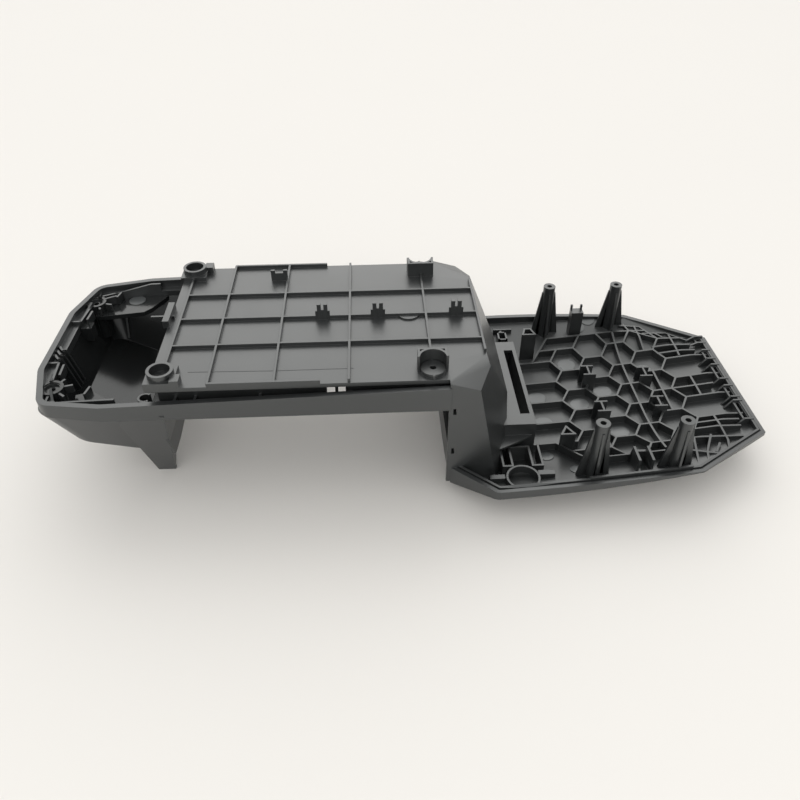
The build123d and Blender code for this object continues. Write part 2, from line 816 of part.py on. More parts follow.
with BuildPart() as deck_clips:
    for x in pin_places_x:
        for side in (-1, 1):
            inner = x + side * pin_slot / 2
            outer = x + side * pin_pair / 2
            stand(min(inner, outer), max(inner, outer), -pin_deep / 2, pin_deep / 2, pin_top)
    stand(catch_left, catch_left + catch_prong, catch_y, catch_y + catch_deep, catch_top)
    stand(catch_right - catch_prong, catch_right, catch_y, catch_y + catch_deep, catch_top)
    stand(catch_left, catch_right, catch_y, catch_y + catch_deep, catch_plate_top)
    stand(hook_rib_left, deck_left + wall, hook_rib_y, hook_rib_y + rib, hook_rib_top)
    stand(hook_left, deck_left + rib, hook_near, hook_far, hook_top)
    bump_radius = ((bump_width / 2) ** 2 + bump_deep**2) / (2 * bump_deep)
    with BuildSketch(Plane.XY.offset(deck_root)):
        with Locations((bump_x, bump_radius - bump_deep)):
            Circle(bump_radius)
        with Locations((bump_x, bump_radius)):
            Rectangle(2 * bump_radius, 2 * bump_radius, mode=Mode.SUBTRACT)
    extrude(amount=bump_top - deck_root)

# Rim walls
inner_lip_out = rim_band + rim_groove
with BuildPart() as rim_flange:
    with BuildSketch(Plane.XY.offset(rim_bottom)):
        add(rim_outline(tub_seam))
        add(rim_outline(inner_lip_out + lip), mode=Mode.SUBTRACT)
        with Locations((rim_right, 0)):
            Rectangle(2 * (rim_right - tub_right), 4 * rim_half, mode=Mode.SUBTRACT)
    extrude(amount=4.5)
with BuildPart() as tub_lip:
    add(rim_ring(inner_lip_out, inner_lip_out + lip, rim_bottom))
    split(bisect_by=Plane.YZ.offset(tub_lip_end), keep=Keep.BOTTOM)

with BuildPart() as deck_bosses:
    for side in (-1, 1):
        with Locations((deck_boss_left_x, side * deck_boss_y, (deck_boss_top + deck_under) / 2)):
            Cylinder(deck_boss_d / 2, deck_boss_top - deck_under)
        with Locations(
            (deck_boss_right_x, side * deck_boss_y, (pocket_boss_top + channel_floor) / 2)
        ):
            Cylinder(pocket_boss_d / 2, pocket_boss_top - channel_floor)
        with BuildSketch(Plane.XY.offset(deck_top - rib_root)):
            with Locations((deck_boss_right_x, side * (pocket_near + pocket_far) / 2)):
                Rectangle(2 * pocket_half, pocket_far - pocket_near)
            with Locations((deck_boss_right_x, side * (lip + (pocket_near + pocket_far) / 2))):
                Rectangle(2 * (pocket_half - lip), pocket_far - pocket_near, mode=Mode.SUBTRACT)
            with Locations((deck_boss_right_x, side * deck_boss_y)):
                Circle(pocket_arch)
                Circle(pocket_arch - lip, mode=Mode.SUBTRACT)
            with Locations((deck_boss_right_x, side * (pocket_far + pocket_arch))):
                Rectangle(3 * pocket_arch, 2 * pocket_arch, mode=Mode.SUBTRACT)
        extrude(amount=pocket_top - deck_top + rib_root)

with BuildPart() as tub_bosses:
    for side in (-1, 1):
        with Locations((tub_boss_x, side * tub_boss_y, tub_boss_top - tub_boss_deep / 2)):
            Cylinder(tub_boss_d / 2, tub_boss_deep)
        with Locations((tub_boss_x - tub_boss_d / 2, side * tub_boss_y, tub_boss_top - tub_boss_fin / 2)):
            Box(tub_boss_d, rib, tub_boss_fin)
        with Locations((tub_boss_x, side * (tub_boss_y + tub_boss_d / 2), tub_boss_top - tub_boss_fin / 2)):
            Box(rib, tub_boss_d, tub_boss_fin)
    add(tub_form(wall / 2, HIGH), mode=Mode.INTERSECT)

with BuildPart() as housing:
    add(tub_outer)
    add(rim_flange)
    add(tub_inner, mode=Mode.SUBTRACT)
    add(tub_bosses)
    add(tub_lip)
    add(leg_webs)
    add(deck_step)
    add(leg)
    mirror(leg.part, about=Plane.XZ)
    add(deck)
    add(rim_ring(0, rim_band, rim_bottom))
    add(panel)
    add(riser)
    add(deck_ribs)
    add(deck_bosses)
    add(deck_clips)
    add(panel_rail)
    add(rib_field)
    add(end_pockets)
    add(fittings)
    for place in post_places:
        with Locations((place[0], place[1], post_top)):
            Hole(screw_hole / 2, depth=screw_depth)
    for side in (-1, 1):
        with Locations((deck_boss_left_x, side * deck_boss_y, deck_boss_top)):
            CounterBoreHole(screw_hole / 2, boss_recess_d / 2, boss_recess, depth=screw_depth)
        with Locations((deck_boss_right_x, side * deck_boss_y, pocket_boss_top)):
            Hole(screw_hole / 2, depth=screw_depth)
        with Locations((tub_boss_x, side * tub_boss_y, tub_boss_top)):
            CounterBoreHole(screw_hole / 2, boss_recess_d / 2 - lip, boss_recess, depth=screw_depth)

housing.part.label = "housing"
os.makedirs("parts", exist_ok=True)
export_step(housing.part, "parts/housing.step")
print("solids", len(housing.part.solids()), "faces", len(housing.part.faces()))
print("box", housing.part.bounding_box(), "volume", housing.part.volume)
print("centre", housing.part.center(CenterOf.MASS))
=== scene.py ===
"""Finish and studio for a ribbed plastic housing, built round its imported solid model."""

from math import cos, pi, radians, sin

import bmesh
import bpy
from bpy.props import FloatProperty, FloatVectorProperty, PointerProperty
from bpy.types import Operator, Panel, PropertyGroup
from mathutils import Matrix, Vector
from mathutils.bvhtree import BVHTree
from mathutils.geometry import convex_hull_2d, intersect_point_line


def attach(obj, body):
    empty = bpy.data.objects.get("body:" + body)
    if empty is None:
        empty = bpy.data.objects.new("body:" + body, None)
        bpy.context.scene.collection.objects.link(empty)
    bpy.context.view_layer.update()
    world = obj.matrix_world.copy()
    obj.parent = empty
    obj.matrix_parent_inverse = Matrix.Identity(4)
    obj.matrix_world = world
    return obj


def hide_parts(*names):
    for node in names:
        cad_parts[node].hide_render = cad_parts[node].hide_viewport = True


bl_info = {
    "name": "Ribbed housing dresser",
    "version": (1, 0, 0),
    "blender": (4, 5, 0),
    "location": "View3D > Sidebar > Housing",
    "description": "Finishes, small fittings and a studio for a moulded housing",
    "category": "Object",
}

MM = 0.001
BODY = "root"
NODE = "housing"

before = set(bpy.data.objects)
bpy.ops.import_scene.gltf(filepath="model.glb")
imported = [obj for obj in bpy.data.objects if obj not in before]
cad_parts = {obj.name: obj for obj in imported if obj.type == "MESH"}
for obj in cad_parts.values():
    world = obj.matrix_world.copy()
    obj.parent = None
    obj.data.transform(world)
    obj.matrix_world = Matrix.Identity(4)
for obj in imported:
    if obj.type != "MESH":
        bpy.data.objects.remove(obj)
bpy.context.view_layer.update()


def place_mm(*values):
    """One place or size, written in millimetres, in metres."""
    return tuple(value * MM for value in values)


def places_mm(*places):
    """Several places or sizes, written in millimetres, in metres."""
    return tuple(place_mm(*place) for place in places)


# Honeycomb places are counted in cell sides from the middle of the panel
CELL_SIDE = 12.0 * MM
CELL_ORIGIN = 132.3 * MM

DECK_TOP = 83.0 * MM
SMOOTH_ANGLE = radians(28)
RING_STEPS = 48

# How deep a fitting's foot goes into what it stands on, and where the rays start that find it
FOOT_DEPTH = 0.8 * MM
PROBE_HEIGHT = 0.2

# Vertices this close are merged, and slivers this thin are dissolved
MERGE_GAP = 0.002 * MM
SLIVER = 0.001 * MM

# The two screw bosses in the tub's left corners, mirrored in Y
TUB_BOSS = place_mm(-202.1, 44.8)
TUB_BOSS_OUTER = 6.5 * MM

# The rim's inner lip at the left end, which stays up round the bosses and along the outline
LIP_END = -150.0 * MM
LIP_CUT = -188.0 * MM
LIP_GAP = 5.5 * MM
LIP_LOW = 69.6 * MM
LIP_BOSS_ROOM = 1.1 * TUB_BOSS_OUTER

# The tub's inside, which gets a material of its own: smoother, with a darker colour and weaker
# sheen as painted shade
TUB_MIDDLE = place_mm(-176.0, 0.0, 60.0)
TUB_LEFT = -206.0 * MM
TUB_RIGHT = -146.0 * MM
TUB_HALF = 60.0 * MM
TUB_BRIM = 64.5 * MM

# The round clip on the panel, and the straight bars that give way to it
CLIP_CENTRE = place_mm(61.8, -75.9)
CLIP_NEAREST = 4.0 * MM
CLIP_FARTHEST = 11.5 * MM
CLIP_FLOOR = 8.0 * MM
CLIP_LEFT = 58.2 * MM
CLIP_RIGHT = 68.4 * MM
CLIP_BACK = -67.0 * MM
CLIP_BAR = 18.5 * MM
CLIP_SAME = 0.01 * MM

# The moulded skin: cloudy flow shading, smeared gloss and fine grain. Scales are per metre
FLOW_SCALE = 14.0
FLOW_DETAIL = 3.0
FLOW_WARP = 0.6
FLOW_SHADE = 0.08
FLOW_DARKEST = 0.3
FLOW_LIGHTEST = 0.7
SMEAR_SCALE = 38.0
SMEAR_DETAIL = 4.0
SMEAR_SPREAD = 0.05
COOL_TINT = (0.955, 0.99, 1.0, 1.0)
GRAIN_DETAIL = 2.0
GRAIN_STRENGTH = 0.12
GRAIN_DEPTH = 0.05 * MM
EDGE_SAMPLES = 4

# How the ejector pins' marks and the tub's inside differ from the skin: the marks are smoother
# and lighter, the lighter colour a painted highlight; the tub's inside is darker, a painted
# shade
MARK_PAINTED_HIGHLIGHT = 3.6
MARK_SMOOTHER = 0.05
INNER_PAINTED_SHADE = 0.7

# The studio floor: its cloud scale, its darker shade's share and its roughness
FLOOR_CLOUDS = 3.0
FLOOR_DARKER = 0.99
FLOOR_ROUGHNESS = 0.9


class HousingFinish(PropertyGroup):
    """Colour and surface of the moulded plastic."""

    base: FloatVectorProperty(
        name="Plastic colour",
        description="Colour of the bare plastic",
        subtype="COLOR",
        size=3,
        min=0,
        max=1,
        default=(0.019, 0.0205, 0.021),
    )
    roughness: FloatProperty(
        name="Roughness",
        description="How matt the moulded skin is",
        min=0,
        max=1,
        default=0.34,
    )
    sheen: FloatProperty(
        name="Sheen",
        description="How strongly the skin mirrors the room",
        min=0,
        max=1,
        default=1.0,
    )
    # The weaker sheen inside the tub is part of the painted shade there
    inner_sheen_painted_shade: FloatProperty(
        name="Inner sheen",
        description="How strongly the inside of the tub mirrors the room",
        min=0,
        max=1,
        default=0.45,
    )
    polish: FloatProperty(
        name="Polished roughness",
        description="How matt the polished inside of the tub is",
        min=0,
        max=1,
        default=0.16,
    )
    grain: FloatProperty(
        name="Grain size",
        description="Width of the fine grain in the mould",
        unit="LENGTH",
        default=0.5 * MM,
    )
    edge_round: FloatProperty(
        name="Edge rounding",
        description="Radius that catches light along the edges",
        unit="LENGTH",
        default=0.3 * MM,
    )


class HousingMarks(PropertyGroup):
    """Marks that the mould's ejector pins leave."""

    radius: FloatProperty(
        name="Pin radius",
        description="Radius of the ejector pins",
        unit="LENGTH",
        default=5.6 * MM,
    )
    height: FloatProperty(
        name="Pin mark height",
        description="How far a pin mark stands above the floor",
        unit="LENGTH",
        default=0.4 * MM,
    )


class HousingFittings(PropertyGroup):
    """Webs, rings and clips that stand on the moulding."""

    web: FloatProperty(
        name="Web thickness",
        description="Thickness of the thin webs",
        unit="LENGTH",
        default=1.3 * MM,
    )
    post_foot: FloatProperty(
        name="Post fin reach",
        description="How far a post's fin reaches at its foot",
        unit="LENGTH",
        default=9.8 * MM,
    )
    post_top: FloatProperty(
        name="Post fin top",
        description="Height where a post's fins end",
        unit="LENGTH",
        default=52.0 * MM,
    )
    clip_radius: FloatProperty(
        name="Clip radius",
        description="Radius of the round clip at the panel's near corner",
        unit="LENGTH",
        default=9.3 * MM,
    )


class HousingStudio(PropertyGroup):
    """Camera, lights and floor."""

    lens: FloatProperty(
        name="Lens",
        description="Focal length on a 36 mm wide sensor, in millimetres",
        default=32.77,
    )
    eye: FloatVectorProperty(
        name="Camera place",
        description="Where the camera stands",
        subtype="TRANSLATION",
        size=3,
        default=(-0.0220, -0.3695, 0.3233),
    )
    pitch: FloatProperty(
        name="Look down",
        description="Angle below the horizon",
        subtype="ANGLE",
        default=radians(39.591),
    )
    yaw: FloatProperty(
        name="Turn",
        description="Angle to the right of straight ahead",
        subtype="ANGLE",
        default=radians(2.410),
    )
    roll: FloatProperty(
        name="Roll",
        description="Tilt of the picture",
        subtype="ANGLE",
        default=radians(-0.315),
    )
    sky: FloatVectorProperty(
        name="Room colour",
        description="Light that comes from all round",
        subtype="COLOR",
        size=3,
        min=0,
        max=1,
        default=(1.0, 0.985, 0.96),
    )
    sky_power: FloatProperty(
        name="Room light",
        description="Strength of the light from all round",
        default=0.90,
    )
    window_power: FloatProperty(
        name="Window light",
        description="Strength of the bright part of the room, behind the housing",
        default=1.45,
    )
    window_height: FloatProperty(
        name="Window height",
        description="Angle of the bright part above the horizon",
        subtype="ANGLE",
        default=radians(40),
    )
    window_spread: FloatProperty(
        name="Window spread",
        description="Angle from the middle of the bright part to where it has faded",
        subtype="ANGLE",
        default=radians(42),
    )
    fill_power: FloatProperty(
        name="Fill light",
        description="Power of the soft light in front, in watts",
        default=9.0,
    )
    floor: FloatVectorProperty(
        name="Floor colour",
        description="Colour of the pale floor",
        subtype="COLOR",
        size=3,
        min=0,
        max=1,
        default=(0.80, 0.788, 0.765),
    )


def at_cell(across, along):
    """A place on the panel from its count in cell sides."""
    return Vector((CELL_ORIGIN + across * CELL_SIDE, along * CELL_SIDE))


# Materials


def new_material(name):
    """A new node material, with its shader, nodes and links."""
    material = bpy.data.materials.new(name)
    material.use_nodes = True
    nodes = material.node_tree.nodes
    return material, nodes["Principled BSDF"], nodes, material.node_tree.links


def moulded_plastic(name, finish, painted_brightness, roughness, sheen):
    """Satin plastic with fine grain, faint flow shading and softened edges."""
    material, shader, nodes, links = new_material(name)
    place = nodes.new("ShaderNodeTexCoord")

    flow = nodes.new("ShaderNodeTexNoise")
    flow.inputs["Scale"].default_value = FLOW_SCALE
    flow.inputs["Detail"].default_value = FLOW_DETAIL
    flow.inputs["Distortion"].default_value = FLOW_WARP
    links.new(place.outputs["Object"], flow.inputs["Vector"])

    shade = nodes.new("ShaderNodeValToRGB")
    # The brightness factor scales the base colour: above one it paints a highlight, below one it
    # paints shade; the skin keeps one
    dark = [channel * (painted_brightness - FLOW_SHADE) for channel in finish.base]
    light = [channel * (painted_brightness + FLOW_SHADE) for channel in finish.base]
    shade.color_ramp.elements[0].position = FLOW_DARKEST
    shade.color_ramp.elements[0].color = (*dark, 1)
    shade.color_ramp.elements[1].position = FLOW_LIGHTEST
    shade.color_ramp.elements[1].color = (*light, 1)
    links.new(flow.outputs["Fac"], shade.inputs["Fac"])
    links.new(shade.outputs["Color"], shader.inputs["Base Color"])

    smear = nodes.new("ShaderNodeTexNoise")
    smear.inputs["Scale"].default_value = SMEAR_SCALE
    smear.inputs["Detail"].default_value = SMEAR_DETAIL
    links.new(place.outputs["Object"], smear.inputs["Vector"])
    gloss = nodes.new("ShaderNodeMapRange")
    gloss.inputs["To Min"].default_value = roughness - SMEAR_SPREAD
    gloss.inputs["To Max"].default_value = roughness + SMEAR_SPREAD
    links.new(smear.outputs["Fac"], gloss.inputs["Value"])
    links.new(gloss.outputs["Result"], shader.inputs["Roughness"])
    shader.inputs["Specular IOR Level"].default_value = sheen
    shader.inputs["Specular Tint"].default_value = COOL_TINT

    grain = nodes.new("ShaderNodeTexNoise")
    grain.inputs["Scale"].default_value = 1 / finish.grain
    grain.inputs["Detail"].default_value = GRAIN_DETAIL
    links.new(place.outputs["Object"], grain.inputs["Vector"])
    edge = nodes.new("ShaderNodeBevel")
    edge.samples = EDGE_SAMPLES
    edge.inputs["Radius"].default_value = finish.edge_round
    relief = nodes.new("ShaderNodeBump")
    relief.inputs["Strength"].default_value = GRAIN_STRENGTH
    relief.inputs["Distance"].default_value = GRAIN_DEPTH
    links.new(grain.outputs["Fac"], relief.inputs["Height"])
    links.new(edge.outputs["Normal"], relief.inputs["Normal"])
    links.new(relief.outputs["Normal"], shader.inputs["Normal"])
    return material


def floor_material(studio):
    """A pale matt floor with hardly any variation."""
    material, shader, nodes, links = new_material("pale_floor")
    place = nodes.new("ShaderNodeTexCoord")
    cloud = nodes.new("ShaderNodeTexNoise")
    cloud.inputs["Scale"].default_value = FLOOR_CLOUDS
    links.new(place.outputs["Object"], cloud.inputs["Vector"])
    shade = nodes.new("ShaderNodeValToRGB")
    darker = [channel * FLOOR_DARKER for channel in studio.floor]
    shade.color_ramp.elements[0].color = (*darker, 1)
    shade.color_ramp.elements[1].color = (*studio.floor, 1)
    links.new(cloud.outputs["Fac"], shade.inputs["Fac"])
    links.new(shade.outputs["Color"], shader.inputs["Base Color"])
    shader.inputs["Roughness"].default_value = FLOOR_ROUGHNESS
    return material


# Meshes


def link_object(name, mesh, materials):
    """A new object in the scene, with its materials."""
    piece = bpy.data.objects.new(name, mesh)
    bpy.context.scene.collection.objects.link(piece)
    for material in materials:
        mesh.materials.append(material)
    return piece


def ride_housing(piece):
    """The piece belongs to the housing and moves with it."""
    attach(piece, BODY)


def smooth_by_angle(mesh):
    """Smooth faces, with sharp edges wherever the surface really turns."""
    for face in mesh.polygons:
        face.use_smooth = True
    work = bmesh.new()
    work.from_mesh(mesh)
    for edge in work.edges:
        if len(edge.link_faces) != 2 or edge.calc_face_angle(pi) > SMOOTH_ANGLE:
            edge.smooth = False
    work.to_mesh(mesh)
    work.free()


def edge_gap(place, corners):
    """How far a place in plan lies from the nearest edge of an outline."""
    gaps = []
    for start, end in zip(corners, corners[1:] + corners[:1]):
        nearest, _ = intersect_point_line(place, start, end)
        gaps.append((nearest.to_2d() - place).length)
    return min(gaps)


def ease_left_lip(work):
    """Brings the rim's inner lip at the left end down to the ledge inside it."""
    end = [vertex for vertex in work.verts if vertex.co.x < LIP_END and vertex.co.z > LIP_LOW]
    places = [vertex.co.to_2d() for vertex in end]
    corners = [places[index] for index in convex_hull_2d(places)]
    boss = Vector(TUB_BOSS)
    for vertex, place in zip(end, places):
        off_boss = (Vector((place.x, abs(place.y))) - boss).length > LIP_BOSS_ROOM
        if vertex.co.x < LIP_CUT and off_boss and edge_gap(place, corners) > LIP_GAP:
            vertex.co.z = LIP_LOW


def clear_clip_place(work):
    """Takes the straight bars away where the round clip stands."""
    centre = Vector(CLIP_CENTRE)
    near = [
        vertex
        for vertex in work.verts
        if CLIP_NEAREST < (vertex.co.to_2d() - centre).length < CLIP_FARTHEST
        and vertex.co.z > CLIP_FLOOR
        and (CLIP_LEFT < vertex.co.x < CLIP_RIGHT or vertex.co.y < CLIP_BACK)
    ]
    for vertex in near:
        feet = [
            other.co.z
            for other in near
            if other.co.z < vertex.co.z
            and (other.co.to_2d() - vertex.co.to_2d()).length < CLIP_SAME
        ]
        if feet and vertex.co.z > CLIP_BAR:
            vertex.co.z = max(feet)


def merged_copy(node):
    """One closed mesh from a node's loose triangles, eased at its lip and its clip."""
    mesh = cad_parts[node].data.copy()
    work = bmesh.new()
    work.from_mesh(mesh)
    bmesh.ops.remove_doubles(work, verts=work.verts, dist=MERGE_GAP)
    ease_left_lip(work)
    clear_clip_place(work)
    bmesh.ops.remove_doubles(work, verts=work.verts, dist=MERGE_GAP)
    bmesh.ops.dissolve_degenerate(work, edges=work.edges, dist=SLIVER)
    work.to_mesh(mesh)
    work.free()
    mesh.materials.clear()
    if mesh.has_custom_normals:
        mesh.attributes.remove(mesh.attributes["custom_normal"])
    smooth_by_angle(mesh)
    return mesh


def add_prism(work, outline, low, high):
    """A closed upright prism over an outline in plan."""
    foot = [work.verts.new((*place, low)) for place in outline]
    top = [work.verts.new((*place, high)) for place in outline]
    work.faces.new(top)
    work.faces.new(foot[::-1])
    for index, corner in enumerate(foot):
        following = (index + 1) % len(foot)
        work.faces.new((corner, foot[following], top[following], top[index]))


def rectangle(left, right, near, far):
    """The four corners of a rectangle in plan."""
    return [(left, near), (right, near), (right, far), (left, far)]


def add_ring(work, centre, outer, inner, low, high):
    """A closed upright ring."""
    turns = [2 * pi * step / RING_STEPS for step in range(RING_STEPS)]
    loops = []
    for radius, level in ((outer, low), (outer, high), (inner, high), (inner, low)):
        loops.append(
            [
                work.verts.new(
                    (centre[0] + radius * cos(turn), centre[1] + radius * sin(turn), level)
                )
                for turn in turns
            ]
        )
    for index, loop in enumerate(loops):
        beside = loops[(index + 1) % len(loops)]
        for step in range(RING_STEPS):
            after = (step + 1) % RING_STEPS
            work.faces.new((loop[step], loop[after], beside[after], beside[step]))


def build_fitting(name, shape, material):
    """A fitting that a function shapes in an empty mesh, riding with the housing."""
    work = bmesh.new()
    shape(work)
    bmesh.ops.recalc_face_normals(work, faces=work.faces)
    mesh = bpy.data.meshes.new(name)
    work.to_mesh(mesh)
    work.free()
    smooth_by_angle(mesh)
    ride_housing(link_object(name, mesh, [get_material(material)]))


def upright(start, end, foot, top):
    """The outline of a standing wall between two places, with a level foot and top."""
    return [(*start, foot), (*end, foot), (*end, top), (*start, top)]


def wall_run(places, foot, top):
    """Standing walls from place to place."""
    return [upright(start, end, foot, top) for start, end in zip(places, places[1:])]


def arc_places(centre, radius, start, end, steps):
    """Places along an arc in plan."""
    turns = [start + (end - start) * step / steps for step in range(steps + 1)]
    return [(centre[0] + radius * cos(turn), centre[1] + radius * sin(turn)) for turn in turns]


def polish_and_shade_tub(mesh):
    """Gives the tub's inner faces the housing's second material: smoother, and darker as painted
    shade.
    """
    middle = Vector(TUB_MIDDLE)
    for face in mesh.polygons:
        place = face.center
        inside = TUB_LEFT < place.x < TUB_RIGHT
        inside = inside and abs(place.y) < TUB_HALF and place.z < TUB_BRIM
        if inside and face.normal.dot(middle - place) > 0:
            face.material_index = 1


def housing_surface():
    """The housing's surface, for finding where a fitting stands."""
    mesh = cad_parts[NODE].data
    points = [vertex.co for vertex in mesh.vertices]
    return BVHTree.FromPolygons(points, [face.vertices for face in mesh.polygons])


def drop_point(surface, place):
    """The point and normal straight below a place in plan."""
    point, normal, _, _ = surface.ray_cast(Vector((*place, PROBE_HEIGHT)), Vector((0, 0, -1)))
    if point is None:
        raise RuntimeError(f"nothing lies below {tuple(place)}")
    return point, normal


def get_material(name):
    """A material that an earlier step has made."""
    if name not in bpy.data.materials:
        raise RuntimeError("dress the moulding first")
    return bpy.data.materials[name]


# Node trees


def new_tree(name, sizes):
    """A node tree that takes a geometry, named sizes and a material, and its two ends."""
    tree = bpy.data.node_groups.new(name, "GeometryNodeTree")
    kinds = {"Geometry": "NodeSocketGeometry"}
    kinds.update({size: "NodeSocketFloat" for size in sizes})
    kinds["Material"] = "NodeSocketMaterial"
    for title, kind in kinds.items():
        tree.interface.new_socket(title, in_out="INPUT", socket_type=kind)
    tree.interface.new_socket("Geometry", in_out="OUTPUT", socket_type="NodeSocketGeometry")
    return tree, tree.nodes.new("NodeGroupInput"), tree.nodes.new("NodeGroupOutput")


def end_tree(tree, grown, given, result):
    """Makes the grown geometry real, coats it and hands it on."""
    real = tree.nodes.new("GeometryNodeRealizeInstances")
    tree.links.new(grown, real.inputs["Geometry"])
    coat = tree.nodes.new("GeometryNodeSetMaterial")
    tree.links.new(real.outputs["Geometry"], coat.inputs["Geometry"])
    tree.links.new(given.outputs["Material"], coat.inputs["Material"])
    tree.links.new(coat.outputs["Geometry"], result.inputs["Geometry"])


def pin_mark_tree():
    """Flat discs, half sunk, one on each point and turned to the point's own normal."""
    tree, given, result = new_tree("pin_marks", ("Radius", "Height"))
    nodes, links = tree.nodes, tree.links

    disc = nodes.new("GeometryNodeMeshCylinder")
    disc.inputs["Vertices"].default_value = MARK_STEPS
    links.new(given.outputs["Radius"], disc.inputs["Radius"])
    depth = nodes.new("ShaderNodeMath")
    depth.operation = "MULTIPLY"
    depth.inputs[1].default_value = 2.0
    links.new(given.outputs["Height"], depth.inputs[0])
    links.new(depth.outputs[0], disc.inputs["Depth"])

    facing = nodes.new("GeometryNodeInputNamedAttribute")
    facing.data_type = "FLOAT_VECTOR"
    facing.inputs["Name"].default_value = "facing"
    turn = nodes.new("FunctionNodeAlignRotationToVector")
    turn.axis = "Z"
    links.new(facing.outputs["Attribute"], turn.inputs["Vector"])
    share = nodes.new("GeometryNodeInputNamedAttribute")
    share.data_type = "FLOAT"
    share.inputs["Name"].default_value = "share"
    spread = nodes.new("ShaderNodeCombineXYZ")
    spread.inputs["Z"].default_value = 1.0
    links.new(share.outputs["Attribute"], spread.inputs["X"])
    links.new(share.outputs["Attribute"], spread.inputs["Y"])

    copies = nodes.new("GeometryNodeInstanceOnPoints")
    links.new(given.outputs["Geometry"], copies.inputs["Points"])
    links.new(disc.outputs["Mesh"], copies.inputs["Instance"])
    links.new(turn.outputs["Rotation"], copies.inputs["Rotation"])
    links.new(spread.outputs["Vector"], copies.inputs["Scale"])
    end_tree(tree, copies.outputs["Instances"], given, result)
    return tree


def web_tree():
    """Flat outlines thickened evenly to both sides into closed webs."""
    tree, given, result = new_tree("webs", ("Thickness",))
    nodes, links = tree.nodes, tree.links

    half = nodes.new("ShaderNodeMath")
    half.operation = "MULTIPLY"
    half.inputs[1].default_value = -0.5
    links.new(given.outputs["Thickness"], half.inputs[0])
    normal = nodes.new("GeometryNodeInputNormal")
    back = nodes.new("ShaderNodeVectorMath")
    back.operation = "SCALE"
    links.new(normal.outputs["Normal"], back.inputs[0])
    links.new(half.outputs[0], back.inputs["Scale"])
    shift = nodes.new("GeometryNodeSetPosition")
    links.new(given.outputs["Geometry"], shift.inputs["Geometry"])
    links.new(back.outputs["Vector"], shift.inputs["Offset"])

    front = nodes.new("GeometryNodeExtrudeMesh")
    front.mode = "FACES"
    links.new(shift.outputs["Geometry"], front.inputs["Mesh"])
    links.new(given.outputs["Thickness"], front.inputs["Offset Scale"])
    rear = nodes.new("GeometryNodeFlipFaces")
    links.new(shift.outputs["Geometry"], rear.inputs["Mesh"])
    both = nodes.new("GeometryNodeJoinGeometry")
    links.new(front.outputs["Mesh"], both.inputs["Geometry"])
    links.new(rear.outputs["Mesh"], both.inputs["Geometry"])
    sewn = nodes.new("GeometryNodeMergeByDistance")
    sewn.inputs["Distance"].default_value = SLIVER
    links.new(both.outputs["Geometry"], sewn.inputs["Geometry"])
    end_tree(tree, sewn.outputs["Geometry"], given, result)
    return tree


def grow_webs(name, outlines, thickness):
    """Thin webs of the moulding, one from each flat outline."""
    points = [point for outline in outlines for point in outline]
    faces = []
    for outline in outlines:
        first = faces[-1][-1] + 1 if faces else 0
        faces.append(tuple(range(first, first + len(outline))))
    mesh = grow(
        name,
        points,
        faces,
        [],
        web_tree(),
        {"Thickness": thickness, "Material": get_material("moulded_skin")},
    )
    smooth_by_angle(mesh)
    ride_housing(link_object(name, mesh, []))


def set_tree_input(modifier, name, value):
    """Sets a modifier's input by the identifier behind its name."""
    for item in modifier.node_group.interface.items_tree:
        if item.item_type == "SOCKET" and item.in_out == "INPUT" and item.name == name:
            modifier[item.identifier] = value
            return
    raise RuntimeError(f"the tree has no input {name}")


def grow(name, points, faces, attributes, tree, values):
    """A plain mesh grown by a node tree from points or outlines that carry attributes."""
    seeds = bpy.data.meshes.new(name + "_seeds")
    seeds.from_pydata([tuple(point) for point in points], [], faces)
    for title, kind, rows in attributes:
        layer = seeds.attributes.new(title, kind, "POINT")
        for item, row in zip(layer.data, rows):
            if kind == "FLOAT_VECTOR":
                item.vector = row
            else:
                item.value = row
    seed = bpy.data.objects.new(name + "_seeds", seeds)
    bpy.context.scene.collection.objects.link(seed)
    modifier = seed.modifiers.new("grow", "NODES")
    modifier.node_group = tree
    for title, value in values.items():
        set_tree_input(modifier, title, value)
    graph = bpy.context.evaluated_depsgraph_get()
    mesh = bpy.data.meshes.new_from_object(seed.evaluated_get(graph))
    seed.modifiers.remove(modifier)
    bpy.data.objects.remove(seed)
    if not mesh.polygons:
        raise RuntimeError(f"{name} grew nothing")
    return mesh


# Operators


class HOUSING_OT_dress(Operator):
    """Give the housing its smooth, grained plastic skin"""

    bl_idname = "housing.dress"
    bl_label = "Dress the moulding"

    def execute(self, context):
        finish = context.scene.housing_finish
        skin = moulded_plastic("moulded_skin", finish, 1.0, finish.roughness, finish.sheen)
        smoother = finish.roughness - MARK_SMOOTHER
        # The pin marks' lighter colour is a painted highlight
        moulded_plastic("pin_polish_painted_highlight", finish, MARK_PAINTED_HIGHLIGHT, smoother, finish.sheen)
        # The tub's inside is darker in colour and sheen: painted shade in the recess
        inner = moulded_plastic(
            "polished_inner_painted_shade", finish, INNER_PAINTED_SHADE, finish.polish, finish.inner_sheen_painted_shade
        )
        mesh = merged_copy(NODE)
        polish_and_shade_tub(mesh)
        piece = link_object("moulded_housing", mesh, [skin, inner])
        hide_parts(NODE)
        ride_housing(piece)
        return {"FINISHED"}


MARK_STEPS = 40

# Each ejector pin's place in cell sides, and its size as a share of the pin radius
PANEL_MARKS = (
    (-1.5, 3.46, 1.1),
    (0.0, 0.87, 1.1),
    (-1.5, 0.0, 1.1),
    (-3.73, 0.87, 1.1),
    (-3.77, -1.3, 1.1),
    (-4.2, -4.1, 0.8),
    (2.7, 2.3, 1.0),
    (-3.0, -5.6, 0.8),
    (0.39, 6.67, 0.9),
    (-0.28, 6.17, 0.8),
    (0.0, -2.6, 1.1),
)


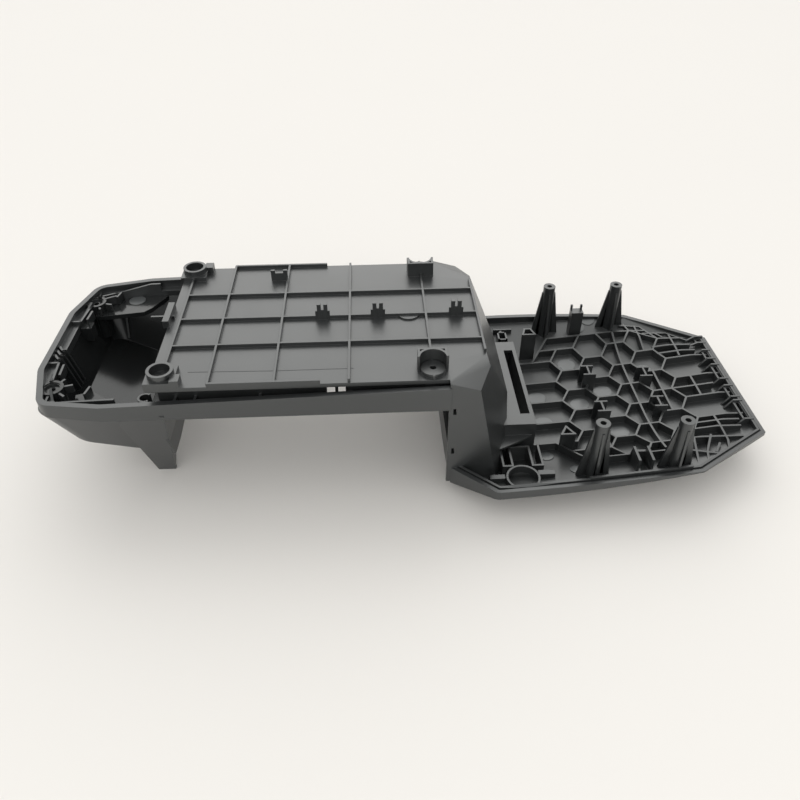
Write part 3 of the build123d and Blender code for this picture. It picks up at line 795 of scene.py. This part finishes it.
class HOUSING_OT_pin_marks(Operator):
    """Put the round ejector pin marks on the panel floor"""

    bl_idname = "housing.pin_marks"
    bl_label = "Ejector pin marks"

    def execute(self, context):
        marks = context.scene.housing_marks
        surface = housing_surface()
        found = [drop_point(surface, at_cell(across, along)) for across, along, _ in PANEL_MARKS]
        # The marks take the lighter material, a painted highlight
        mesh = grow(
            "pin_marks",
            [point for point, _ in found],
            [],
            [
                ("facing", "FLOAT_VECTOR", [normal for _, normal in found]),
                ("share", "FLOAT", [share for _, _, share in PANEL_MARKS]),
            ],
            pin_mark_tree(),
            {
                "Radius": marks.radius,
                "Height": marks.height,
                "Material": get_material("pin_polish_painted_highlight"),
            },
        )
        smooth_by_angle(mesh)
        ride_housing(link_object("pin_marks", mesh, []))
        return {"FINISHED"}


# The four posts. A fin that faces the panel's near or far edge reaches less far
POST_PLACES = places_mm((102.95, 73.1), (150.55, 73.1), (102.95, -73.1), (150.55, -73.1))
POST_RADIUS = 4.1 * MM
POST_SIDES = ((1, 0), (-1, 0), (0, 1), (0, -1))
OUTWARD_SHARE = 0.72
FIN_PROBE = 1.25 * POST_RADIUS
FIN_TIP = 0.5 * MM


class HOUSING_OT_post_fins(Operator):
    """Put the long flared fins on the four screw posts"""

    bl_idname = "housing.post_fins"
    bl_label = "Post fins"

    def execute(self, context):
        fittings = context.scene.housing_fittings
        surface = housing_surface()
        outlines = []
        for middle in map(Vector, POST_PLACES):
            for step in map(Vector, POST_SIDES):
                core = middle + step * (POST_RADIUS - FOOT_DEPTH)
                outward = step.y * middle.y > 0
                foot = middle + step * fittings.post_foot * (OUTWARD_SHARE if outward else 1)
                beside = Vector((step.y, step.x)) * 2 * fittings.web
                inner, _ = drop_point(surface, middle + step * FIN_PROBE + beside)
                outer, _ = drop_point(surface, foot + beside)
                top = middle + step * (POST_RADIUS + FIN_TIP)
                outlines.append(
                    [
                        (*core, inner.z - FOOT_DEPTH),
                        (*foot, outer.z - FOOT_DEPTH),
                        (*top, fittings.post_top),
                        (*core, fittings.post_top),
                    ]
                )
        grow_webs("post_fins", outlines, fittings.web)
        return {"FINISHED"}


# Levels in the tub: the ledge that the webs stand on, and their tops
TUB_LEDGE = 66.2 * MM
TUB_WEB_TOP = 71.8 * MM
BOSS_RAY_TOP = 71.0 * MM

# The boss rings: an outer cup and a seat round the screw hole
TUB_BOSS_INNER = 4.7 * MM
TUB_BOSS_HOLE = 1.6 * MM
TUB_BOSS_TOP = 71.6 * MM
TUB_BOSS_SEAT = 69.9 * MM
SEAT_OUTER = TUB_BOSS_INNER + 0.2 * MM

# Webs round each boss: direction in degrees and reach from the middle
BOSS_RAYS = ((180, 6.9 * MM), (15, 11.0 * MM), (320, 11.5 * MM), (60, 9.5 * MM))

# Brackets beside the bosses, mirrored in Y
BRACKET = places_mm((-212.0, 21.6), (-205.2, 21.6), (-203.6, 38.4))
BRACKET_STUB = places_mm((-201.8, 23.5), (-201.2, 33.5))

# Three wavy ribs on the left wall, and the slanting tail below each, in X and Z
WAVE = places_mm((0.0, 0.0), (2.6, 0.6), (4.3, -2.0), (6.3, -4.2), (8.2, -4.0))
WAVE_STARTS = place_mm(-14.2, -9.9, -5.6)
WAVE_LEFT = -212.4 * MM
WAVE_TAIL = 2.6 * MM
WAVE_TOE = places_mm((-202.6, 50.0), (-199.2, 50.0))

# The far shelf with its pin mark and arms, and the seam in the wall below it, in Y and Z
FAR_SHELF = places_mm(
    (-206.0, 36.0),
    (-194.8, 36.0),
    (-171.3, 39.6),
    (-167.1, 44.2),
    (-159.6, 58.7),
    (-160.0, 60.2),
    (-190.0, 60.2),
    (-206.0, 50.0),
)
FAR_SHELF_LEVELS = place_mm(63.0, 66.0)
FAR_DISC = place_mm(-178.6, 53.6)
FAR_DISC_RADIUS = 5.3 * MM
FAR_DISC_LEVELS = place_mm(65.5, 66.4)
FAR_ARMS = (
    places_mm((-197.0, 48.0), (-189.8, 51.6)),
    places_mm((-199.5, 51.2), (-192.0, 54.6)),
    places_mm((-189.8, 49.6), (-188.4, 55.6)),
)
FAR_SEAM_X = -189.0 * MM
FAR_SEAM = places_mm((58.6, 60.0), (56.4, 60.0), (48.3, 40.0), (50.3, 40.0))

# The block on the left wall
WALL_BLOCK = place_mm(-205.8, -199.0, 19.0, 26.0)
WALL_BLOCK_LEVELS = place_mm(58.5, 68.0)

# The near ledge, its rib and the hook beside the deck
NEAR_LEDGE = places_mm(
    (-192.0, -42.0), (-183.0, -39.0), (-174.0, -46.0), (-170.0, -53.0), (-190.0, -53.0)
)
NEAR_LEDGE_LEVELS = place_mm(60.0, 63.5)
NEAR_RIB = places_mm((-184.0, -38.6), (-185.4, -45.8))
NEAR_RIB_LEVELS = place_mm(60.0, 67.0)
HOOK_CENTRE = place_mm(-148.4, -56.2)
HOOK_RADIUS = 3.4 * MM
HOOK_START = radians(50)
HOOK_END = radians(310)
HOOK_STEPS = 14
HOOK_LEVELS = place_mm(60.0, 71.5)


def mirrored(places, side):
    """Places in plan on one side of the long axis."""
    return [(across, side * along) for across, along in places]


def tub_shape(work):
    """The boss rings, shelves and block in the tub."""
    for side in (1, -1):
        centre = (TUB_BOSS[0], side * TUB_BOSS[1])
        add_ring(work, centre, TUB_BOSS_OUTER, TUB_BOSS_INNER, TUB_LEDGE, TUB_BOSS_TOP)
        add_ring(work, centre, SEAT_OUTER, TUB_BOSS_HOLE, TUB_LEDGE, TUB_BOSS_SEAT)
    add_prism(work, FAR_SHELF, *FAR_SHELF_LEVELS)
    add_prism(work, NEAR_LEDGE, *NEAR_LEDGE_LEVELS)
    add_prism(work, rectangle(*WALL_BLOCK), *WALL_BLOCK_LEVELS)


def tub_disc(work):
    """The large pin mark on the tub's far shelf."""
    outline = arc_places(FAR_DISC, FAR_DISC_RADIUS, 0, 2 * pi, MARK_STEPS)[:-1]
    add_prism(work, outline, *FAR_DISC_LEVELS)


def boss_webs(side):
    """The bracket, its stub and the rays at one boss."""
    outlines = wall_run(mirrored(BRACKET, side), TUB_LEDGE, TUB_WEB_TOP)
    outlines += wall_run(mirrored(BRACKET_STUB, side), TUB_LEDGE, TUB_WEB_TOP)
    middle = Vector((TUB_BOSS[0], side * TUB_BOSS[1]))
    for turn, reach in BOSS_RAYS:
        step = Vector((cos(radians(turn)), side * sin(radians(-turn))))
        start = middle + step * (TUB_BOSS_OUTER - FOOT_DEPTH)
        outlines += wall_run([start, middle + step * reach], TUB_LEDGE, BOSS_RAY_TOP)
    return outlines


def wave_webs(begin):
    """One wavy rib and the slanting tail below its end."""
    run = [(WAVE_LEFT + across, begin + along) for across, along in WAVE]
    across, along = run[-1]
    tail = [(across, TUB_WEB_TOP), (across - WAVE_TAIL, TUB_WEB_TOP)]
    tail += [(across - WAVE_TAIL, TUB_LEDGE), *WAVE_TOE]
    walls = wall_run(run, TUB_LEDGE, TUB_WEB_TOP)
    return walls + [[(x, along, level) for x, level in tail]]


class HOUSING_OT_tub_fittings(Operator):
    """Put the boss rings, shelves, brackets and wavy ribs in the tub"""

    bl_idname = "housing.tub_fittings"
    bl_label = "Tub fittings"

    def execute(self, context):
        # The tub's blocks take the darker inside material, painted shade
        build_fitting("tub_blocks", tub_shape, "polished_inner_painted_shade")
        # The far shelf's pin mark is lighter too, a painted highlight
        build_fitting("tub_pin_mark", tub_disc, "pin_polish_painted_highlight")

        outlines = boss_webs(1) + boss_webs(-1)
        for begin in WAVE_STARTS:
            outlines += wave_webs(begin)
        for arm in FAR_ARMS:
            outlines += wall_run(arm, TUB_LEDGE, TUB_WEB_TOP)
        outlines.append([(FAR_SEAM_X, along, level) for along, level in FAR_SEAM])
        hook = arc_places(HOOK_CENTRE, HOOK_RADIUS, HOOK_START, HOOK_END, HOOK_STEPS)
        outlines += wall_run(hook, *HOOK_LEVELS)
        outlines += wall_run(NEAR_RIB, *NEAR_RIB_LEVELS)
        grow_webs("tub_webs", outlines, context.scene.housing_fittings.web)
        return {"FINISHED"}


# Small blocks on the panel: left, right, near, far and top
PANEL_TABS = places_mm(
    (43.0, 52.0, -74.0, -70.6, 16.6),
    (71.6, 81.4, -73.0, -69.4, 18.0),
    (127.4, 128.9, -76.5, -64.5, 30.0),
    (135.4, 136.9, -76.5, -64.5, 30.0),
    (127.4, 136.9, -65.5, -63.9, 26.5),
    (68.2, 69.4, 62.6, 72.4, 19.5),
    (73.6, 74.8, 62.6, 72.4, 19.5),
    (68.2, 74.8, 62.6, 63.8, 19.5),
    (68.2, 74.8, 71.2, 72.4, 19.5),
    (66.0, 79.6, 75.0, 76.4, 19.5),
    (70.4, 72.0, 72.4, 75.0, 19.0),
)
PANEL_TAB_FOOT = 3.2 * MM

# The round clip's opening, and the two short toes at its ends
CLIP_TOP = 19.4 * MM
CLIP_START = radians(-52)
CLIP_END = radians(232)
CLIP_STEPS = 30
CLIP_TIP = place_mm(5.6, -7.4)
CLIP_TOE = place_mm(1.6, -1.8)

# Pairs of wedges on the panel's right rim: the pair's middle, and the gap in the pair
END_ROWS = places_mm((46.4, 6.4), (29.4, 10.0), (9.8, 15.6), (-11.1, 11.6), (-29.6, 18.0))
END_INNER = 200.5 * MM
END_SHOULDER = 206.0 * MM
END_OUTER = 211.6 * MM
END_RISE = 2.0 * MM


def panel_shape(work):
    """Small upright blocks on the panel floor."""
    surface = housing_surface()
    for left, right, near, far, top in PANEL_TABS:
        corners = rectangle(left, right, near, far)
        floor = min(drop_point(surface, corner)[0].z for corner in corners)
        foot = min(floor, top - PANEL_TAB_FOOT) - FOOT_DEPTH
        add_prism(work, corners, foot, top)


def clip_webs(surface, radius):
    """The round clip, open towards the panel's edge, with a toe at each end."""
    floor, _ = drop_point(surface, CLIP_CENTRE)
    low = floor.z - FOOT_DEPTH
    ring = arc_places(CLIP_CENTRE, radius, CLIP_START, CLIP_END, CLIP_STEPS)
    outlines = wall_run(ring, low, CLIP_TOP)
    for side in (-1, 1):
        tip = (CLIP_CENTRE[0] + side * CLIP_TIP[0], CLIP_CENTRE[1] + CLIP_TIP[1])
        toe = (tip[0] + side * CLIP_TOE[0], tip[1] + CLIP_TOE[1])
        outlines += wall_run([tip, toe], low, CLIP_TOP)
    return outlines


def end_wedge(surface, along):
    """A wedge that leans from the panel's floor against its right rim."""
    inner, _ = drop_point(surface, (END_INNER, along))
    rim, _ = drop_point(surface, (END_OUTER, along))
    foot = min(inner.z, rim.z) - FOOT_DEPTH
    top = rim.z + END_RISE
    profile = ((END_INNER, foot), (END_OUTER, foot), (END_OUTER, top), (END_SHOULDER, top))
    return [(across, along, level) for across, level in profile]


class HOUSING_OT_panel_fittings(Operator):
    """Put the round clip, the small blocks and the end wedges on the panel"""

    bl_idname = "housing.panel_fittings"
    bl_label = "Panel fittings"

    def execute(self, context):
        fittings = context.scene.housing_fittings
        surface = housing_surface()
        grow_webs("round_clip", clip_webs(surface, fittings.clip_radius), fittings.web)
        build_fitting("panel_blocks", panel_shape, "moulded_skin")
        wedges = [
            end_wedge(surface, middle + side * gap / 2)
            for middle, gap in END_ROWS
            for side in (-1, 1)
        ]
        grow_webs("end_wedges", wedges, fittings.web)
        return {"FINISHED"}


# The outline of a web behind a leg's inner edge, in Y and Z, mirrored in Y
LEG_WEB_X = -142.6 * MM
LEG_WEB = places_mm(
    (-60.0, 62.0),
    (-8.0, 62.0),
    (-8.0, 26.0),
    (-20.0, 24.7),
    (-35.0, 23.0),
    (-50.0, 23.4),
    (-57.0, 40.0),
)


class HOUSING_OT_leg_webs(Operator):
    """Put the dark webs behind the legs' inner edges"""

    bl_idname = "housing.leg_webs"
    bl_label = "Leg webs"

    def execute(self, context):
        outlines = [
            [(LEG_WEB_X, side * along, level) for along, level in LEG_WEB]
            for side in (1, -1)
        ]
        grow_webs("leg_webs", outlines, context.scene.housing_fittings.web)
        return {"FINISHED"}


# Blocks of the pronged pins on the deck: half width, half depth and top
PRONG_PLACES = place_mm(-52.4, -19.4, 27.5)
PRONG_BLOCKS = places_mm((4.3, 0.7, 88.5), (0.9, 1.2, 89.6))

CREASE = places_mm((-123.9, -49.5), (-74.0, -50.6), (-33.7, -50.5))
CREASE_RISE = 0.12 * MM


def prong_shape(work):
    """The buttress and the bridge of each pronged pin on the deck."""
    for across in PRONG_PLACES:
        for half, deep, top in PRONG_BLOCKS:
            corners = rectangle(across - half, across + half, -deep, deep)
            add_prism(work, corners, DECK_TOP - FOOT_DEPTH, top)


class HOUSING_OT_deck_fittings(Operator):
    """Put the pin blocks and the faint crease on the deck"""

    bl_idname = "housing.deck_fittings"
    bl_label = "Deck fittings"

    def execute(self, context):
        build_fitting("pin_blocks", prong_shape, "moulded_skin")
        outlines = wall_run(CREASE, DECK_TOP - FOOT_DEPTH, DECK_TOP + CREASE_RISE)
        grow_webs("deck_crease", outlines, context.scene.housing_fittings.web / 2)
        return {"FINISHED"}


# The floor's half width, and the soft light in front, in metres
FLOOR_REACH = 6.0
SUBJECT = (0.0, 0.0, 0.04)
FILL_PLACE = (-0.4, -2.2, 1.7)
FILL_SIZE = (1.6, 1.2)
FILL_COLOUR = (1.0, 0.99, 0.97)


def room(studio):
    """A pale room that is brighter round one direction, like a large window."""
    world = bpy.data.worlds.new("room")
    world.use_nodes = True
    nodes, links = world.node_tree.nodes, world.node_tree.links
    background = nodes["Background"]
    background.inputs["Color"].default_value = (*studio.sky, 1)

    place = nodes.new("ShaderNodeTexCoord")
    window = nodes.new("ShaderNodeVectorMath")
    window.operation = "DOT_PRODUCT"
    window.inputs[1].default_value = (0, cos(studio.window_height), sin(studio.window_height))
    links.new(place.outputs["Generated"], window.inputs[0])
    fade = nodes.new("ShaderNodeMapRange")
    fade.interpolation_type = "SMOOTHSTEP"
    fade.inputs["From Min"].default_value = cos(studio.window_spread)
    fade.inputs["From Max"].default_value = 1.0
    fade.inputs["To Min"].default_value = studio.sky_power
    fade.inputs["To Max"].default_value = studio.sky_power + studio.window_power
    links.new(window.outputs["Value"], fade.inputs["Value"])
    links.new(fade.outputs["Result"], background.inputs["Strength"])
    return world


def aim(place, target):
    """A turn that points a light's beam from a place to a target."""
    return (Vector(target) - Vector(place)).to_track_quat("-Z", "Y").to_matrix().to_4x4()


def soft_light(name, place, target, size, power, colour):
    """A rectangular soft light."""
    lamp = bpy.data.lights.new(name, "AREA")
    lamp.shape = "RECTANGLE"
    lamp.size, lamp.size_y = size
    lamp.energy = power
    lamp.color = colour
    light = bpy.data.objects.new(name, lamp)
    light.matrix_world = Matrix.Translation(place) @ aim(place, target)
    bpy.context.scene.collection.objects.link(light)


class HOUSING_OT_studio(Operator):
    """Set up the camera, the pale floor, the room and the soft light"""

    bl_idname = "housing.studio"
    bl_label = "Studio"

    def execute(self, context):
        studio = context.scene.housing_studio
        scene = context.scene
        scene.view_settings.view_transform = "Standard"

        lens = bpy.data.cameras.new("camera")
        lens.lens = studio.lens
        lens.dof.use_dof = False
        camera = bpy.data.objects.new("camera", lens)
        turn = Matrix.Rotation(-studio.yaw, 4, "Z")
        tilt = Matrix.Rotation(pi / 2 - studio.pitch, 4, "X")
        camera.matrix_world = (
            Matrix.Translation(studio.eye) @ turn @ tilt @ Matrix.Rotation(studio.roll, 4, "Z")
        )
        scene.collection.objects.link(camera)
        scene.camera = camera

        scene.world = room(studio)

        floor = bpy.data.meshes.new("floor")
        reach = FLOOR_REACH
        corners = [(*corner, 0) for corner in rectangle(-reach, reach, -reach, reach)]
        floor.from_pydata(corners, [], [(0, 1, 2, 3)])
        link_object("floor", floor, [floor_material(studio)])

        soft_light("fill", FILL_PLACE, SUBJECT, FILL_SIZE, studio.fill_power, FILL_COLOUR)
        return {"FINISHED"}


class HOUSING_PT_tools(Panel):
    """The steps that dress the housing, in order"""

    bl_label = "Housing"
    bl_idname = "HOUSING_PT_tools"
    bl_space_type = "VIEW_3D"
    bl_region_type = "UI"
    bl_category = "Housing"

    def draw(self, context):
        layout = self.layout
        for name in GROUPS:
            group = getattr(context.scene, name)
            column = layout.column(align=True)
            for title in group.__annotations__:
                column.prop(group, title)
        for step in STEPS:
            layout.operator(step.bl_idname)


GROUPS = {
    "housing_finish": HousingFinish,
    "housing_marks": HousingMarks,
    "housing_fittings": HousingFittings,
    "housing_studio": HousingStudio,
}
STEPS = (
    HOUSING_OT_dress,
    HOUSING_OT_pin_marks,
    HOUSING_OT_post_fins,
    HOUSING_OT_tub_fittings,
    HOUSING_OT_panel_fittings,
    HOUSING_OT_leg_webs,
    HOUSING_OT_deck_fittings,
    HOUSING_OT_studio,
)


def register():
    """Makes the classes known and hangs their settings on the scene."""
    for title, group in GROUPS.items():
        bpy.utils.register_class(group)
        setattr(bpy.types.Scene, title, PointerProperty(type=group))
    for step in STEPS:
        bpy.utils.register_class(step)
    bpy.utils.register_class(HOUSING_PT_tools)


def unregister():
    """Takes everything back out."""
    bpy.utils.unregister_class(HOUSING_PT_tools)
    for step in reversed(STEPS):
        bpy.utils.unregister_class(step)
    for title, group in reversed(GROUPS.items()):
        delattr(bpy.types.Scene, title)
        bpy.utils.unregister_class(group)


def main():
    """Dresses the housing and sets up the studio."""
    register()
    bpy.ops.housing.dress()
    bpy.ops.housing.pin_marks()
    bpy.ops.housing.post_fins()
    bpy.ops.housing.tub_fittings()
    bpy.ops.housing.panel_fittings()
    bpy.ops.housing.leg_webs()
    bpy.ops.housing.deck_fittings()
    bpy.ops.housing.studio()
    bpy.context.view_layer.update()


if __name__ == "__main__":
    main()
